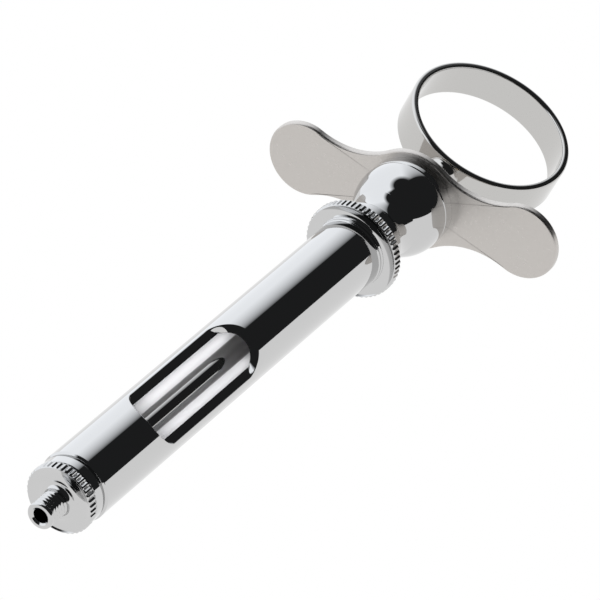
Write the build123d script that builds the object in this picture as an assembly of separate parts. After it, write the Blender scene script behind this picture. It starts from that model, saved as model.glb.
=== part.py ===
from build123d import *
from math import cos, pi, radians, sin, sqrt
import os

# Dental aspirating syringe, in millimetres. The origin is the centre of the needle nipple's tip face,
# +Y runs back along the axis to the thumb ring, X lies along the finger wings and +Z is up.

# Clearances
RUN_GAP = 0.05            # radial, screwed and turned fits
SLIDE_GAP = 0.08          # radial, bushes that slide
STOP_GAP = 0.3            # along the axis, between a stop and what meets it
CUT_OVER = 1.0            # how far a cut runs past the face it opens

# A fillet's middle point, as parts of its rise and of its run
ARC_RISE = 0.3
ARC_RUN = 0.7

# Barrel: a tube for a glass cartridge of 8.6 mm diameter
BARREL_RADIUS = 5.75
BARREL_BORE_RADIUS = 4.5
BARREL_LENGTH = 78.2
BARREL_CHAMFER = 0.3
BARREL_THREAD_RADIUS = 5.0
BARREL_THREAD_DEPTH = 5.2
BARREL_LIP_RADIUS = 5.95
BARREL_LIP_LENGTH = 0.5
WINDOW_FRONT = 14.6       # from the barrel's front end to the window
WINDOW_LENGTH = 28.5
WINDOW_HALF_ANGLE = 58.0
WINDOW_END_RADIUS = 4.4
WINDOW_ROLL = 33.0        # the window's middle, turned from straight up towards +X

# Needle adaptor
NIPPLE_LENGTH = 4.9
NIPPLE_RADIUS = 2.15
NIPPLE_ROOT_RADIUS = 2.9
NIPPLE_ROOT_LENGTH = 0.7
NIPPLE_RIM_ROUND = 0.3
NEEDLE_BORE_RADIUS = 1.2
NEEDLE_MOUTH_RADIUS = 1.5
HUB_RADIUS = 5.65
HUB_LENGTH = 1.7
HUB_DISH = 0.15
HUB_CHAMFER = 0.3
HUB_TEETH = 40
BAND_RADIUS = 5.5
BAND_LENGTH = 1.75
NECK_GROOVE_RADIUS = 5.15
NECK_GROOVE_LENGTH = 0.5
SHANK_LENGTH = 4.8
SHANK_CHAMFER = 0.35
TOOTH_DEPTH = 0.3
GROOVE_SHARE = 0.8        # of a tooth's pitch, at the rim

# Coupling between the barrel and the ball
SPIGOT_LENGTH = 4.2
SHOULDER_RADIUS = 6.0
SHOULDER_LENGTH = 0.35
COUPLING_RADIUS = 8.24
COUPLING_RIM = 1.8
COUPLING_DISH = 0.25
COUPLING_TEETH = 58
COUPLING_CHAMFER = 0.3
SLEEVE_RADIUS = 5.9
SLEEVE_LENGTH = 3.8
SLEEVE_CHAMFER = 0.2
NOSE_BORE_RADIUS = 4.0
THREAD_RADIUS = 5.25
THREAD_DEPTH = 3.6

# Ball housing
BALL_RADIUS = 7.75
BALL_BEHIND_SLEEVE = 10.0
WAIST_RADIUS = 4.95
CHAMBER_RADIUS = 4.4
BALL_REAR = 1.0           # from the ball's centre back to its joint with the base
WAIST_FRONT = 0.6
WAIST_REAR_RADIUS = 5.7

# Grip base, finger grip and nut
BASE_RADIUS = 7.65
BASE_LENGTH = 2.1
BASE_GROOVE = 0.3
BASE_SCREW_LENGTH = 3.7
TAIL_RADIUS = 3.4
BUSH_RADIUS = 2.5
GRIP_THICKNESS = 1.3
GRIP_HUB_RADIUS = 8.7
PADDLE_RADIUS = 6.45
PADDLE_OFFSET = 20.05
WAIST_ARC_RADIUS = 13.35
GRIP_EDGE_ROUND = 0.35
NUT_RADIUS = 5.2
NUT_LENGTH = 1.4
NUT_SLOT_WIDTH = 1.0
NUT_SLOT_DEPTH = 0.7
NUT_CHAMFER = 0.3

# Guide bearing, spring and rear bush
ROD_RADIUS = 1.75
BEARING_REACH = 8.0       # ahead of the coupling's front end
BEARING_FLANGE_LENGTH = 1.5
BEARING_CHAMFER = 0.25
BEARING_CUP_RADIUS = 3.3
BEARING_CUP_DEPTH = 1.2
SPRING_WIRE = 0.7
SPRING_TURNS = 6
SPRING_RADIUS = 3.7
BUSH_FLANGE_RADIUS = 2.95
BUSH_FLANGE_LENGTH = 0.6
BUSH_LIP_LENGTH = 0.4

# Piston, harpoon and thumb ring
ROD_FRONT = 12.6          # from the barrel's front end to the rod's front end
HARPOON_THREAD_RADIUS = 0.9
HARPOON_THREAD_LENGTH = 3.5
HARPOON_COLLAR_RADIUS = 1.5
HARPOON_COLLAR_LENGTH = 0.8
HARPOON_STEM_RADIUS = 0.65
HARPOON_BARB_RADIUS = 1.15
HARPOON_BARB_LENGTH = 1.7
HARPOON_LENGTH = 6.3
SOCKET_RADIUS = 2.3
SOCKET_FLARE_RADIUS = 2.95
SOCKET_LENGTH = 6.1
SOCKET_FLARE_LENGTH = 1.3
SOCKET_DEPTH = 3.6
RING_RADIUS = 14.0
RING_THICKNESS = 1.2
RING_WIDTH = 6.4
RING_EDGE_ROUND = 0.45
RING_ROLL = 22.0          # the ring's face, turned from straight up towards +X

# Stations along the axis, worked out from the sizes above
HUB_BACK = NIPPLE_LENGTH + HUB_LENGTH
BARREL_FRONT = HUB_BACK + BAND_LENGTH + NECK_GROOVE_LENGTH
BARREL_BACK = BARREL_FRONT + BARREL_LENGTH
RIM_FRONT = BARREL_BACK + SHOULDER_LENGTH
RIM_BACK = RIM_FRONT + COUPLING_RIM
SLEEVE_BACK = RIM_BACK + SLEEVE_LENGTH
NECK_FRONT = SLEEVE_BACK - THREAD_DEPTH
BALL_CENTRE = SLEEVE_BACK + BALL_BEHIND_SLEEVE
BASE_FRONT = BALL_CENTRE + BALL_REAR
GRIP_FRONT = BASE_FRONT + BASE_LENGTH
GRIP_BACK = GRIP_FRONT + GRIP_THICKNESS
NUT_BACK = GRIP_BACK + NUT_LENGTH
SCREW_FRONT = BASE_FRONT - BASE_SCREW_LENGTH
BUSH_BACK = NUT_BACK + STOP_GAP + BUSH_LIP_LENGTH
SOCKET_FRONT = BUSH_BACK + STOP_GAP
SOCKET_BACK = SOCKET_FRONT + SOCKET_LENGTH
RING_CENTRE = SOCKET_BACK + RING_RADIUS
ROD_START = BARREL_FRONT + ROD_FRONT
GUIDE_RADIUS = ROD_RADIUS + RUN_GAP


def turned(points):
    """A solid turned about the Y axis from (radius, station) points."""
    return revolve(make_face(Polyline(*points, close=True)), Axis.Y)


def turned_outline(lines):
    """A solid turned about the Y axis from a closed outline of lines and arcs."""
    return revolve(make_face(lines), Axis.Y)


def cylinder(radius, start, end):
    """A plain cylinder on the Y axis between two stations."""
    return Pos(0, (start + end) / 2, 0) * Rot(90, 0, 0) * Cylinder(radius, end - start)


def knurl_grooves(radius, teeth, start, end):
    """Straight V-grooves round a rim, as solids to cut away."""
    pitch = 2 * pi * radius / teeth
    flank = GROOVE_SHARE / 2 * pitch / TOOTH_DEPTH
    reach = radius + TOOTH_DEPTH
    half = flank * (reach - radius + TOOTH_DEPTH)
    groove = make_face(Polyline((radius - TOOTH_DEPTH, 0), (reach, half), (reach, -half), close=True))
    first = extrude(Plane.XZ.offset(-end) * groove, end - start)
    return [Rot(0, turn * 360 / teeth, 0) * first for turn in range(teeth)]


def needle_adaptor():
    """Threaded nipple, knurled hub, band and screwed shank, turned in one piece."""
    root_front = NIPPLE_LENGTH - NIPPLE_ROOT_LENGTH
    hub_front = NIPPLE_LENGTH
    band_back = HUB_BACK + BAND_LENGTH
    shank_back = BARREL_FRONT + SHANK_LENGTH
    shank = BARREL_THREAD_RADIUS - RUN_GAP
    face_mid = ((NIPPLE_ROOT_RADIUS + HUB_RADIUS - HUB_CHAMFER) / 2, hub_front + HUB_DISH)
    rim = (HUB_RADIUS - HUB_CHAMFER, hub_front)
    front = [
        Polyline((NEEDLE_BORE_RADIUS, shank_back),
                 (NEEDLE_BORE_RADIUS, NEEDLE_MOUTH_RADIUS - NEEDLE_BORE_RADIUS),
                 (NEEDLE_MOUTH_RADIUS, 0), (NIPPLE_RADIUS - NIPPLE_RIM_ROUND, 0)),
        RadiusArc((NIPPLE_RADIUS - NIPPLE_RIM_ROUND, 0), (NIPPLE_RADIUS, NIPPLE_RIM_ROUND),
                  NIPPLE_RIM_ROUND),
        Line((NIPPLE_RADIUS, NIPPLE_RIM_ROUND), (NIPPLE_RADIUS, root_front)),
        ThreePointArc((NIPPLE_RADIUS, root_front),
                      (NIPPLE_RADIUS + ARC_RISE * (NIPPLE_ROOT_RADIUS - NIPPLE_RADIUS),
                       root_front + ARC_RUN * NIPPLE_ROOT_LENGTH),
                      (NIPPLE_ROOT_RADIUS, hub_front)),
        ThreePointArc((NIPPLE_ROOT_RADIUS, hub_front), face_mid, rim),
    ]
    back = Polyline(
        rim, (HUB_RADIUS, hub_front + HUB_CHAMFER), (HUB_RADIUS, HUB_BACK - HUB_CHAMFER),
        (HUB_RADIUS - HUB_CHAMFER, HUB_BACK), (NECK_GROOVE_RADIUS, HUB_BACK),
        (BAND_RADIUS, HUB_BACK + (BAND_RADIUS - NECK_GROOVE_RADIUS) / 2), (BAND_RADIUS, band_back),
        (NECK_GROOVE_RADIUS, band_back + (BAND_RADIUS - NECK_GROOVE_RADIUS) / 2),
        (NECK_GROOVE_RADIUS, BARREL_FRONT), (shank, BARREL_FRONT), (shank, shank_back - SHANK_CHAMFER),
        (shank - SHANK_CHAMFER, shank_back), (NEEDLE_BORE_RADIUS, shank_back))
    body = turned_outline(front + [back])
    return body - knurl_grooves(HUB_RADIUS, HUB_TEETH, hub_front, HUB_BACK)


def window_cutter():
    """The window's space: radial side walls, and ends rounded as seen square on."""
    half_angle = radians(WINDOW_HALF_ANGLE)
    reach = 2 * BARREL_RADIUS
    start = BARREL_FRONT + WINDOW_FRONT
    end = start + WINDOW_LENGTH
    side_x, side_z = reach * sin(half_angle), reach * cos(half_angle)
    wedge_face = make_face(Polyline((0, 0), (side_x, side_z), (0, reach), (-side_x, side_z), close=True))
    wedge = extrude(Plane.XZ.offset(-end) * wedge_face, end - start)
    width = 2 * (BARREL_RADIUS * sin(half_angle) + RUN_GAP)
    outline = Pos(0, (start + end) / 2) * RectangleRounded(width, WINDOW_LENGTH, WINDOW_END_RADIUS)
    return Rot(0, WINDOW_ROLL, 0) * (wedge & extrude(outline, reach))


def barrel():
    """Tube with a screwed socket at each end, a rear lip and one window."""
    front, back = BARREL_FRONT, BARREL_BACK
    lip_front = back - BARREL_LIP_LENGTH
    lip_rise = BARREL_LIP_RADIUS - BARREL_RADIUS
    tube = turned([
        (BARREL_THREAD_RADIUS, front), (BARREL_RADIUS - BARREL_CHAMFER, front),
        (BARREL_RADIUS, front + BARREL_CHAMFER), (BARREL_RADIUS, lip_front - lip_rise),
        (BARREL_LIP_RADIUS, lip_front), (BARREL_LIP_RADIUS, back - lip_rise),
        (BARREL_LIP_RADIUS - lip_rise, back), (BARREL_THREAD_RADIUS, back),
        (BARREL_THREAD_RADIUS, back - BARREL_THREAD_DEPTH),
        (BARREL_BORE_RADIUS, back - BARREL_THREAD_DEPTH),
        (BARREL_BORE_RADIUS, front + BARREL_THREAD_DEPTH),
        (BARREL_THREAD_RADIUS, front + BARREL_THREAD_DEPTH)])
    return tube - window_cutter()


def coupling():
    """Knurled rim with a screwed spigot for the barrel and a screwed sleeve for the ball's neck."""
    spigot = BARREL_THREAD_RADIUS - RUN_GAP
    spigot_front = BARREL_BACK - SPIGOT_LENGTH
    rim_edge = COUPLING_RADIUS - COUPLING_CHAMFER
    dish_mid = ((SHOULDER_RADIUS + rim_edge) / 2, RIM_FRONT + COUPLING_DISH)
    front = Polyline((NOSE_BORE_RADIUS, NECK_FRONT), (NOSE_BORE_RADIUS, spigot_front),
                     (spigot - SHANK_CHAMFER, spigot_front), (spigot, spigot_front + SHANK_CHAMFER),
                     (spigot, BARREL_BACK), (SHOULDER_RADIUS - BARREL_CHAMFER, BARREL_BACK),
                     (SHOULDER_RADIUS, BARREL_BACK + BARREL_CHAMFER), (SHOULDER_RADIUS, RIM_FRONT))
    face = ThreePointArc((SHOULDER_RADIUS, RIM_FRONT), dish_mid, (rim_edge, RIM_FRONT))
    back = Polyline((rim_edge, RIM_FRONT), (COUPLING_RADIUS, RIM_FRONT + COUPLING_CHAMFER),
                    (COUPLING_RADIUS, RIM_BACK - COUPLING_CHAMFER), (rim_edge, RIM_BACK),
                    (SLEEVE_RADIUS, RIM_BACK), (SLEEVE_RADIUS, SLEEVE_BACK - SLEEVE_CHAMFER),
                    (SLEEVE_RADIUS - SLEEVE_CHAMFER, SLEEVE_BACK), (THREAD_RADIUS, SLEEVE_BACK),
                    (THREAD_RADIUS, NECK_FRONT), (NOSE_BORE_RADIUS, NECK_FRONT))
    body = turned_outline([front, face, back])
    return body - knurl_grooves(COUPLING_RADIUS, COUPLING_TEETH, RIM_FRONT, RIM_BACK)


def ball_housing():
    """Ball with a waisted neck, bored straight through for the bearing and its spring."""
    neck = THREAD_RADIUS - RUN_GAP
    waist_back = BALL_CENTRE - sqrt(BALL_RADIUS ** 2 - WAIST_REAR_RADIUS ** 2)
    waist_start = SLEEVE_BACK + WAIST_FRONT
    rear_radius = sqrt(BALL_RADIUS ** 2 - BALL_REAR ** 2)
    outline = [
        Polyline((CHAMBER_RADIUS, BASE_FRONT), (CHAMBER_RADIUS, NECK_FRONT), (neck, NECK_FRONT),
                 (neck, waist_start)),
        ThreePointArc((neck, waist_start), (WAIST_RADIUS, (waist_start + waist_back) / 2 - WAIST_FRONT),
                      (WAIST_REAR_RADIUS, waist_back)),
        ThreePointArc((WAIST_REAR_RADIUS, waist_back), (BALL_RADIUS, BALL_CENTRE),
                      (rear_radius, BASE_FRONT)),
        Line((rear_radius, BASE_FRONT), (CHAMBER_RADIUS, BASE_FRONT)),
    ]
    return turned_outline(outline)


def grip_base():
    """Disc between the ball and the finger grip, screwed into the ball, with a tail for the nut."""
    screw = CHAMBER_RADIUS - RUN_GAP
    guide = BUSH_RADIUS + RUN_GAP
    return turned([
        (guide, SCREW_FRONT), (screw - SHANK_CHAMFER, SCREW_FRONT), (screw, SCREW_FRONT + SHANK_CHAMFER),
        (screw, BASE_FRONT), (BASE_RADIUS - BASE_GROOVE, BASE_FRONT),
        (BASE_RADIUS, BASE_FRONT + BASE_GROOVE),
        (BASE_RADIUS, GRIP_FRONT), (TAIL_RADIUS, GRIP_FRONT), (TAIL_RADIUS, NUT_BACK), (guide, NUT_BACK)])


def grip_outline():
    """Plan of the finger grip: a round hub, two round paddles and concave arcs between them."""
    near = GRIP_HUB_RADIUS + WAIST_ARC_RADIUS
    far = PADDLE_RADIUS + WAIST_ARC_RADIUS
    arc_x = (near ** 2 - far ** 2 + PADDLE_OFFSET ** 2) / (2 * PADDLE_OFFSET)
    arc_z = sqrt(near ** 2 - arc_x ** 2)
    hub_touch = Vector(arc_x, arc_z) * (GRIP_HUB_RADIUS / near)
    paddle = Vector(PADDLE_OFFSET, 0)
    paddle_touch = paddle + (Vector(arc_x, arc_z) - paddle) * (PADDLE_RADIUS / far)
    lowest = Vector(arc_x, arc_z - WAIST_ARC_RADIUS)

    def at(point, side_x, side_z):
        return (side_x * point.X, side_z * point.Y)

    edges = []
    for side in (1, -1):
        hub_end = (0, side * GRIP_HUB_RADIUS)
        edges.append(ThreePointArc(at(hub_touch, -1, side), hub_end, at(hub_touch, 1, side)))
        edges.append(ThreePointArc(at(paddle_touch, side, 1), (side * (PADDLE_OFFSET + PADDLE_RADIUS), 0),
                                   at(paddle_touch, side, -1)))
        for end in (1, -1):
            edges.append(ThreePointArc(at(hub_touch, side, end), at(lowest, side, end),
                                       at(paddle_touch, side, end)))
    return make_face(edges)


def finger_grip():
    """Pressed plate with rounded edges and a hole for the base's tail."""
    plate = extrude(Plane.XZ.offset(-GRIP_BACK) * grip_outline(), GRIP_THICKNESS)
    rims = [edge for edge in plate.edges() if abs(edge.center().Y - GRIP_FRONT) < RUN_GAP
            or abs(edge.center().Y - GRIP_BACK) < RUN_GAP]
    plate = fillet(rims, GRIP_EDGE_ROUND)
    return plate - cylinder(TAIL_RADIUS + RUN_GAP, GRIP_FRONT - CUT_OVER, GRIP_BACK + CUT_OVER)


def grip_nut():
    """Round nut behind the finger grip, with two slots for a pin spanner."""
    bore = TAIL_RADIUS + RUN_GAP
    nut = turned([(bore, GRIP_BACK), (NUT_RADIUS, GRIP_BACK), (NUT_RADIUS, NUT_BACK - NUT_CHAMFER),
                  (NUT_RADIUS - NUT_CHAMFER, NUT_BACK), (bore, NUT_BACK)])
    slot_middle = NUT_BACK - NUT_SLOT_DEPTH / 2
    slot = Pos(0, slot_middle, 0) * Box(NUT_SLOT_WIDTH, NUT_SLOT_DEPTH, 2 * (NUT_RADIUS + CUT_OVER))
    return nut - (slot - cylinder(bore, GRIP_FRONT, NUT_BACK + CUT_OVER))


def rear_bush():
    """Rod guide, free to turn in the base: front flange, plain body and a rear lip."""
    body_front = SCREW_FRONT - STOP_GAP
    lip_front = BUSH_BACK - BUSH_LIP_LENGTH
    return turned([
        (GUIDE_RADIUS, body_front - BUSH_FLANGE_LENGTH),
        (BUSH_FLANGE_RADIUS, body_front - BUSH_FLANGE_LENGTH),
        (BUSH_FLANGE_RADIUS, body_front), (BUSH_RADIUS, body_front), (BUSH_RADIUS, lip_front),
        (BUSH_FLANGE_RADIUS, lip_front), (BUSH_FLANGE_RADIUS, BUSH_BACK), (GUIDE_RADIUS, BUSH_BACK)])


def guide_bearing():
    """Sliding bush that carries the rod, with a cupped nose that presses on the cartridge."""
    nose = NOSE_BORE_RADIUS - SLIDE_GAP
    flange = CHAMBER_RADIUS - SLIDE_GAP
    nose_front = BARREL_BACK - SPIGOT_LENGTH - BEARING_REACH
    flange_front = NECK_FRONT + RUN_GAP
    flange_back = flange_front + BEARING_FLANGE_LENGTH
    return turned([
        (GUIDE_RADIUS, nose_front + BEARING_CUP_DEPTH), (BEARING_CUP_RADIUS, nose_front),
        (nose - BEARING_CHAMFER, nose_front), (nose, nose_front + BEARING_CHAMFER), (nose, flange_front),
        (flange, flange_front), (flange, flange_back), (GUIDE_RADIUS, flange_back)])


def bearing_spring():
    """Coil spring between the guide bearing and the grip base."""
    front = NECK_FRONT + RUN_GAP + BEARING_FLANGE_LENGTH + RUN_GAP
    height = SCREW_FRONT - RUN_GAP - front - SPRING_WIRE
    path = Helix(pitch=height / SPRING_TURNS, height=height, radius=SPRING_RADIUS)
    section = (path ^ 0) * Circle(SPRING_WIRE / 2)
    coil = sweep(section, path=path, is_frenet=True)
    return Pos(0, front + SPRING_WIRE / 2, 0) * Rot(-90, 0, 0) * coil


def piston_rod():
    """Polished rod, bored at the front for the harpoon's screw."""
    end = SOCKET_FRONT + SOCKET_DEPTH
    rod = turned([
        (0, ROD_START), (ROD_RADIUS - SHANK_CHAMFER, ROD_START), (ROD_RADIUS, ROD_START + SHANK_CHAMFER),
        (ROD_RADIUS, end - SHANK_CHAMFER), (ROD_RADIUS - SHANK_CHAMFER, end), (0, end)])
    return rod - cylinder(HARPOON_THREAD_RADIUS, ROD_START, ROD_START + HARPOON_THREAD_LENGTH + STOP_GAP)


def harpoon():
    """Barbed tip with a collar and a screw that enters the rod."""
    tip = ROD_START - HARPOON_LENGTH
    collar_front = ROD_START - HARPOON_COLLAR_LENGTH
    barb_back = tip + HARPOON_BARB_LENGTH
    screw = HARPOON_THREAD_RADIUS - RUN_GAP
    return turned([
        (0, tip), (HARPOON_BARB_RADIUS, barb_back), (HARPOON_STEM_RADIUS, barb_back - STOP_GAP),
        (HARPOON_STEM_RADIUS, collar_front - STOP_GAP), (HARPOON_COLLAR_RADIUS, collar_front),
        (HARPOON_COLLAR_RADIUS, ROD_START), (screw, ROD_START),
        (screw, ROD_START + HARPOON_THREAD_LENGTH),
        (0, ROD_START + HARPOON_THREAD_LENGTH)])


def ring_place(shape):
    """Puts a shape made round the Z axis at the thumb ring's centre, rolled with the ring."""
    return Pos(0, RING_CENTRE, 0) * Rot(0, RING_ROLL, 0) * shape


def ring_socket():
    """Boss that takes the rod's end, flared where it is brazed to the thumb ring."""
    reach = SOCKET_BACK + RING_THICKNESS / 2
    flare_front = SOCKET_BACK - SOCKET_FLARE_LENGTH
    outline = [
        Polyline((0, reach), (0, SOCKET_FRONT), (SOCKET_RADIUS - SHANK_CHAMFER, SOCKET_FRONT),
                 (SOCKET_RADIUS, SOCKET_FRONT + SHANK_CHAMFER), (SOCKET_RADIUS, flare_front)),
        ThreePointArc((SOCKET_RADIUS, flare_front),
                      (SOCKET_RADIUS + ARC_RISE * (SOCKET_FLARE_RADIUS - SOCKET_RADIUS),
                       flare_front + ARC_RUN * SOCKET_FLARE_LENGTH),
                      (SOCKET_FLARE_RADIUS, SOCKET_BACK)),
        Polyline((SOCKET_FLARE_RADIUS, SOCKET_BACK), (SOCKET_FLARE_RADIUS, reach), (0, reach)),
    ]
    rod_hole = cylinder(ROD_RADIUS + RUN_GAP / 2, SOCKET_FRONT - CUT_OVER, SOCKET_FRONT + SOCKET_DEPTH)
    return turned_outline(outline) - rod_hole - ring_place(Cylinder(RING_RADIUS, 2 * RING_WIDTH))


def thumb_ring():
    """Flat band ring with rounded edges."""
    middle = RING_RADIUS - RING_THICKNESS / 2
    section = Plane.XZ * (Pos(middle, 0) * RectangleRounded(RING_THICKNESS, RING_WIDTH, RING_EDGE_ROUND))
    return ring_place(revolve(section, Axis.Z))


PIECES = [needle_adaptor, barrel, coupling, ball_housing, grip_base, finger_grip, grip_nut, rear_bush,
          guide_bearing, bearing_spring, piston_rod, harpoon, ring_socket, thumb_ring]

for piece in PIECES:
    export_step(piece(), f"parts/{piece.__name__}.step")
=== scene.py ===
import math

import bpy
import numpy as np
from mathutils import Matrix, Vector


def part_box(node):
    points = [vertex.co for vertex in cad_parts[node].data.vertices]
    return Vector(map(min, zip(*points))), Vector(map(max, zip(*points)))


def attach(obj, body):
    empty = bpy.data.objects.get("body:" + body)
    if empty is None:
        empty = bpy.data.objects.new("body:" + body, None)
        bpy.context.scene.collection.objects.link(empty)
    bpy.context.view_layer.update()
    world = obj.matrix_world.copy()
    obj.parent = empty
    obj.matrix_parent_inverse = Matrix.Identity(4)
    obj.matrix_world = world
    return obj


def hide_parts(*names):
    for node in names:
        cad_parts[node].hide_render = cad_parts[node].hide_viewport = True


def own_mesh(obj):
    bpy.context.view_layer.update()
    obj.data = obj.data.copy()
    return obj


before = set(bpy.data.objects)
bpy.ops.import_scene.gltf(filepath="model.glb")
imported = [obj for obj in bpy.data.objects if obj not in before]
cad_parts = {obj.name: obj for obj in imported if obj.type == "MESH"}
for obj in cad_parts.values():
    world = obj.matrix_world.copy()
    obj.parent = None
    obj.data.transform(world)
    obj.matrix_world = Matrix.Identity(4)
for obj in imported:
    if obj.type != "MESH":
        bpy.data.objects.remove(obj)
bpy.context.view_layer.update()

MM = 0.001
TINY = 1e-9

# Sizes that pieces share, in millimetres. A station is a place along the axis, back from the nipple's tip
HUB_FRONT, HUB_BACK, HUB_RADIUS, HUB_TEETH = 4.9, 6.6, 5.65, 40
BARREL_FRONT, BARREL_BACK, BARREL_RADIUS, BORE_RADIUS = 8.85, 87.05, 5.75, 4.5
SCREW_RADIUS, SCREW_HOLE_RADIUS, SHANK_CHAMFER = 4.95, 5.0, 0.35
RIM_FRONT, RIM_BACK, RIM_RADIUS, RIM_TEETH = 87.4, 89.2, 8.24, 58
SLEEVE_BACK, NECK_FRONT = 93.0, 89.4
BASE_FRONT, GRIP_FRONT, GRIP_BACK, NUT_BACK = 104.0, 106.1, 107.4, 108.8
GRIP_HUB_RADIUS = 8.7
ROD_RADIUS, ROD_END, GUIDE_RADIUS = 1.75, 113.4, 1.8
RING_CENTRE, RING_RADIUS, RING_ROLL = 129.9, 14.0, math.radians(22)

# Grooves of a knurled rim. A groove's width is a share of a tooth's pitch
TOOTH_DEPTH, GROOVE_SHARE, COLUMNS_PER_TOOTH = 0.3, 0.8, 10
# UNCUT is a radius beyond every surface. The others say how slight a cut counts and how slopes are taken
UNCUT, LEAST_DEPTH, LEAST_RADIUS, SLOPE_STEP = 99.0, 1e-6, 0.1, 0.004

# How far an edge's rounding reaches along each of its sides, from a keen edge to a well buffed one
FINE, CRISP, SHARP, EASED, DULLED = 0.02, 0.03, 0.04, 0.05, 0.06
TOOTH_EDGE, SOFT, ROUNDED, BUFFED = 0.07, 0.08, 0.1, 0.12


def profile(corners, steps=5):
    """Rounded outline of a turned piece.

    Each corner is (radius, station, round). Where round is above nought, the corner is replaced by a
    short curve that is tangent to both neighbours: (1-t)^2 before + 2t(1-t) corner + t^2 after. Where it
    is nought, the point lies on a smooth curve. Returns (points, outward normals) as arrays."""
    corners = np.asarray(corners, float)
    here, size = corners[:, :2], corners[:, 2]
    before, after = np.roll(here, 1, 0), np.roll(here, -1, 0)
    into = (here - before) / np.maximum(np.linalg.norm(here - before, axis=1, keepdims=True), TINY)
    out = (after - here) / np.maximum(np.linalg.norm(after - here, axis=1, keepdims=True), TINY)
    points, along = [], []
    for i, s in enumerate(size):
        if s > 0:
            a, b = here[i] - into[i] * s, here[i] + out[i] * s
            t = np.linspace(0, 1, steps)[:, None]
            points.append((1 - t) ** 2 * a + 2 * t * (1 - t) * here[i] + t ** 2 * b)
            along.append((1 - t) * into[i] + t * out[i])
        else:
            points.append(here[i:i + 1])
            along.append(into[i:i + 1] + out[i:i + 1])
    points, along = np.concatenate(points), np.concatenate(along)
    along /= np.linalg.norm(along, axis=1, keepdims=True)
    return points, np.stack([along[:, 1], -along[:, 0]], 1)


def arc(centre, radius, start, end, count):
    """Points on a circle of the section, as smooth corners: centre + radius (cos a, sin a), with angles in
    degrees from straight out towards the back."""
    a = np.radians(np.linspace(start, end, count))
    return [(centre[0] + radius * math.cos(x), centre[1] + radius * math.sin(x), 0) for x in a]


def dished(inner, outer, station, depth, margin, count):
    """Flat face between two radii hollowed by a parabola, as smooth corners: at share s of the way out the
    station is station + depth (1 - (2s - 1)^2). The margin is the share left out at each edge."""
    shares = np.linspace(margin, 1 - margin, count)
    return [(inner + (outer - inner) * s, station + depth * (1 - (2 * s - 1) ** 2), 0) for s in shares]


def flared(radius, station, rise, run, first, step=10):
    """Quarter of an ellipse that opens outwards, as smooth corners: (radius + rise (1 - cos t),
    station + run sin t), with t in degrees from first in equal steps."""
    angles = np.radians(np.arange(first, 90, step))
    return [(radius + rise * (1 - math.cos(t)), station + run * math.sin(t), 0) for t in angles]


def tooth_groove(radius, teeth):
    """Lowered radius of straight V-grooves round a rim: each rises in a straight line from the root at its
    middle to the rim's radius at its edge."""
    def relief(station, angle):
        place = np.abs((angle * teeth / (2 * np.pi)) % 1 - 0.5)
        return radius - TOOTH_DEPTH + TOOTH_DEPTH * place / (GROOVE_SHARE / 2)
    return relief


def grooved(radius, station, angle, normals, relief):
    """Radii lowered to relief(station, angle) wherever that is the lower, and their normals as (out, back,
    round) parts. A groove's slope, along the axis and round it, is the rise between the places one
    SLOPE_STEP to each side, over twice that step."""
    step = SLOPE_STEP
    turn = step / np.maximum(radius, LEAST_RADIUS)
    cut = relief(station, angle)
    deep = cut < radius - LEAST_DEPTH
    slope_back = (relief(station + step, angle) - relief(station - step, angle)) / (2 * step)
    slope_round = (relief(station, angle + turn) - relief(station, angle - turn)) / (2 * step)
    out, back, around = normals
    return np.where(deep, cut, radius), (np.where(deep, 1, out), np.where(deep, -slope_back, back),
                                         np.where(deep, -slope_round, around))


def turned(corners, columns, relief=None, axis_ends=False):
    """Surface turned about the Y axis from an outline: a point at radius r, station y and angle a goes to
    (r sin a, y, r cos a). relief(y, a) is the radius that grooves leave, and the lower of the two wins.
    Where axis_ends is true the outline starts and ends on the axis, and each end is one point."""
    rows, slopes = profile(corners)
    if axis_ends:
        rows, slopes = rows[1:-1], slopes[1:-1]
    angle = np.arange(columns)[None] * 2 * np.pi / columns
    r, y, angle, out, back = np.broadcast_arrays(
        rows[:, :1], rows[:, 1:], angle, slopes[:, :1], slopes[:, 1:])
    around = np.zeros_like(r)
    if relief is not None:
        r, (out, back, around) = grooved(r, y, angle, (out, back, around), relief)
    sin, cos = np.sin(angle), np.cos(angle)
    points = np.stack([r * sin, y, r * cos], -1).reshape(-1, 3)
    facing = np.stack([out * sin + around * cos, back, out * cos - around * sin], -1).reshape(-1, 3)
    grid = np.arange(len(rows) * columns).reshape(len(rows), columns)
    faces = ring_of(grid if axis_ends else np.concatenate([grid, grid[:1]]))
    if axis_ends:
        poles = [[0, corners[0][1], 0], [0, corners[-1][1], 0]]
        faces += closed_by(len(points), grid[0]) + closed_by(len(points) + 1, grid[-1])
        points, facing = np.concatenate([points, poles]), np.concatenate([facing, [[0, -1, 0], [0, 1, 0]]])
    return points, facing, faces


def ring_of(loops):
    """Quads between following loops of point numbers, each loop closed on itself."""
    return np.concatenate([np.stack([a, np.roll(a, -1), np.roll(b, -1), b], -1)
                           for a, b in zip(loops[:-1], loops[1:])]).tolist()


def closed_by(pole, loop):
    """Triangles that close a loop of point numbers with one point."""
    return np.stack([np.full(len(loop), pole), loop, np.roll(loop, -1)], -1).tolist()


def outward(points, facing, faces):
    """The faces, each turned over where its own normal points against the surface's normals at its corners.
    A face's normal is the cross product of the ways from its first to its third corner and from its second
    to its last."""
    faces_out = []
    for size in (3, 4):
        group = np.array([f for f in faces if len(f) == size], int).reshape(-1, size)
        first, second, third, last = (points[group[:, i]] for i in (0, 1, 2, -1))
        normal = np.cross(third - first, last - second)
        wrong = (normal * facing[group].sum(1)).sum(1) < 0
        group[wrong] = group[wrong][:, ::-1]
        faces_out += group.tolist()
    return faces_out


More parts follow.
